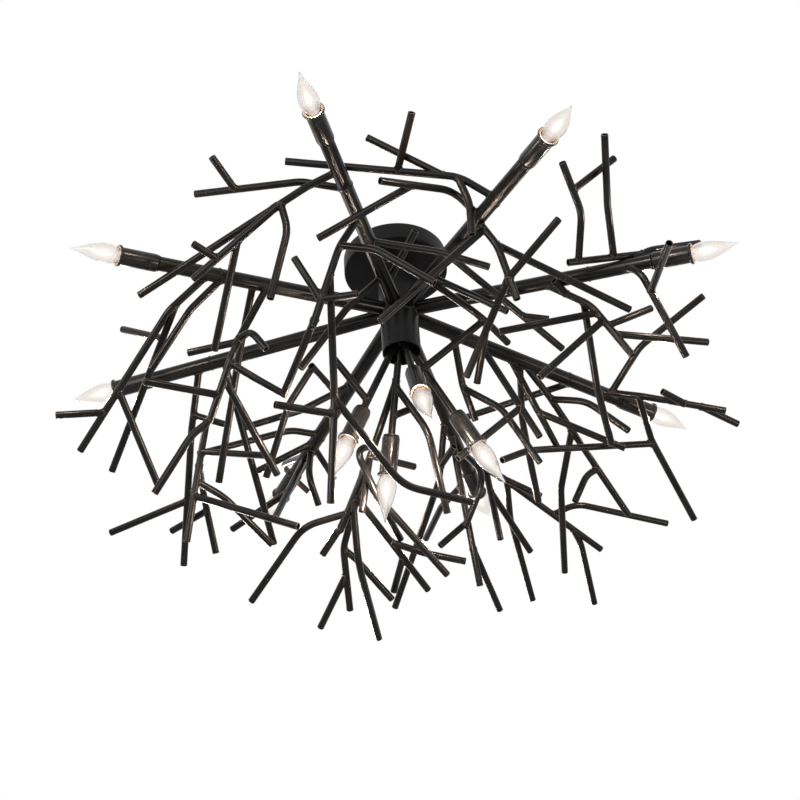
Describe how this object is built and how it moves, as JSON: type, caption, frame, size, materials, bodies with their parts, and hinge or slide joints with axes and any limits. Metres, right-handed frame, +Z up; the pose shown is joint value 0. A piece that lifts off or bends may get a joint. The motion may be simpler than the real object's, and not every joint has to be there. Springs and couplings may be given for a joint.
{
  "type": "branch chandelier",
  "caption": "Close-to-ceiling branch chandelier: round canopy, short hub pipe, dark arms covered in thin branch tubes, flame bulbs in slim sleeves.",
  "frame": {"origin": "centre of the canopy's rim, on the ceiling", "axes": "+X to the right and along the strap, +Y away from the viewer, +Z up into the ceiling"},
  "size_m": [0.9028, 0.9809, 0.4307],
  "materials": {
    "metal": "satin powder coat, dark bronze, almost black",
    "zinc": "zinc-plated steel, hidden inside the canopy",
    "ground": "green earth screw",
    "socket": "off-white socket body",
    "base": "bright brass screw base",
    "glass": "clear thin glass, lit warm white"
  },
  "bodies": {
    "fixture": {"canopy": "metal", "mounting_strap": "zinc", "nipple": "zinc", "lock_nuts": "zinc", "ground_screw": "ground", "hub_pipe": "metal", "rod_boss": "metal", "arm_1": "metal", "arm_2": "metal", "arm_3": "metal", "arm_4": "metal", "arm_5": "metal", "arm_6": "metal", "arm_7": "metal", "arm_8": "metal", "rod_1": "metal", "rod_2": "metal", "rod_3": "metal", "rod_4": "metal", "arm_1_branches": "metal", "arm_2_branches": "metal", "arm_3_branches": "metal", "arm_4_branches": "metal", "arm_5_branches": "metal", "arm_6_branches": "metal", "arm_7_branches": "metal", "arm_8_branches": "metal", "rod_3_branches": "metal", "rod_4_branches": "metal", "arm_sleeves": "metal", "rod_sleeves": "metal", "arm_cores": "socket", "rod_cores": "socket"},
    "bulb_1": {"bulb_1_base": "base", "bulb_1_glass": "glass"},
    "bulb_2": {"bulb_2_base": "base", "bulb_2_glass": "glass"},
    "bulb_3": {"bulb_3_base": "base", "bulb_3_glass": "glass"},
    "bulb_4": {"bulb_4_base": "base", "bulb_4_glass": "glass"},
    "bulb_5": {"bulb_5_base": "base", "bulb_5_glass": "glass"},
    "bulb_6": {"bulb_6_base": "base", "bulb_6_glass": "glass"},
    "bulb_7": {"bulb_7_base": "base", "bulb_7_glass": "glass"},
    "bulb_8": {"bulb_8_base": "base", "bulb_8_glass": "glass"},
    "bulb_9": {"bulb_9_base": "base", "bulb_9_glass": "glass"},
    "bulb_10": {"bulb_10_base": "base", "bulb_10_glass": "glass"},
    "bulb_11": {"bulb_11_base": "base", "bulb_11_glass": "glass"},
    "bulb_12": {"bulb_12_base": "base", "bulb_12_glass": "glass"}
  },
  "joints": [
    {"name": "unscrew_bulb_1", "type": "slide", "parent": "fixture", "child": "bulb_1", "axis": [-0.2076, -0.9768, -0.0523], "range_m": [0, 0.024]},
    {"name": "unscrew_bulb_2", "type": "slide", "parent": "fixture", "child": "bulb_2", "axis": [0.4812, -0.8681, -0.1219], "range_m": [0, 0.024]},
    {"name": "unscrew_bulb_3", "type": "slide", "parent": "fixture", "child": "bulb_3", "axis": [0.9511, -0.2908, -0.1045], "range_m": [0, 0.024]},
    {"name": "unscrew_bulb_4", "type": "slide", "parent": "fixture", "child": "bulb_4", "axis": [0.8596, 0.4963, -0.1219], "range_m": [0, 0.024]},
    {"name": "unscrew_bulb_5", "type": "slide", "parent": "fixture", "child": "bulb_5", "axis": [0.2413, 0.9679, -0.0698], "range_m": [0, 0.024]},
    {"name": "unscrew_bulb_6", "type": "slide", "parent": "fixture", "child": "bulb_6", "axis": [-0.483, 0.8713, -0.0872], "range_m": [0, 0.024]},
    {"name": "unscrew_bulb_7", "type": "slide", "parent": "fixture", "child": "bulb_7", "axis": [-0.9794, 0.1727, -0.1045], "range_m": [0, 0.024]},
    {"name": "unscrew_bulb_8", "type": "slide", "parent": "fixture", "child": "bulb_8", "axis": [-0.8596, -0.4963, -0.1219], "range_m": [0, 0.024]},
    {"name": "unscrew_bulb_9", "type": "slide", "parent": "fixture", "child": "bulb_9", "axis": [0.1226, -0.3368, -0.9336], "range_m": [0, 0.024]},
    {"name": "unscrew_bulb_10", "type": "slide", "parent": "fixture", "child": "bulb_10", "axis": [0.449, 0.1373, -0.8829], "range_m": [0, 0.024]},
    {"name": "unscrew_bulb_11", "type": "slide", "parent": "fixture", "child": "bulb_11", "axis": [-0.1571, 0.4093, -0.8988], "range_m": [0, 0.024]},
    {"name": "unscrew_bulb_12", "type": "slide", "parent": "fixture", "child": "bulb_12", "axis": [-0.3869, -0.0544, -0.9205], "range_m": [0, 0.024]}
  ]
}
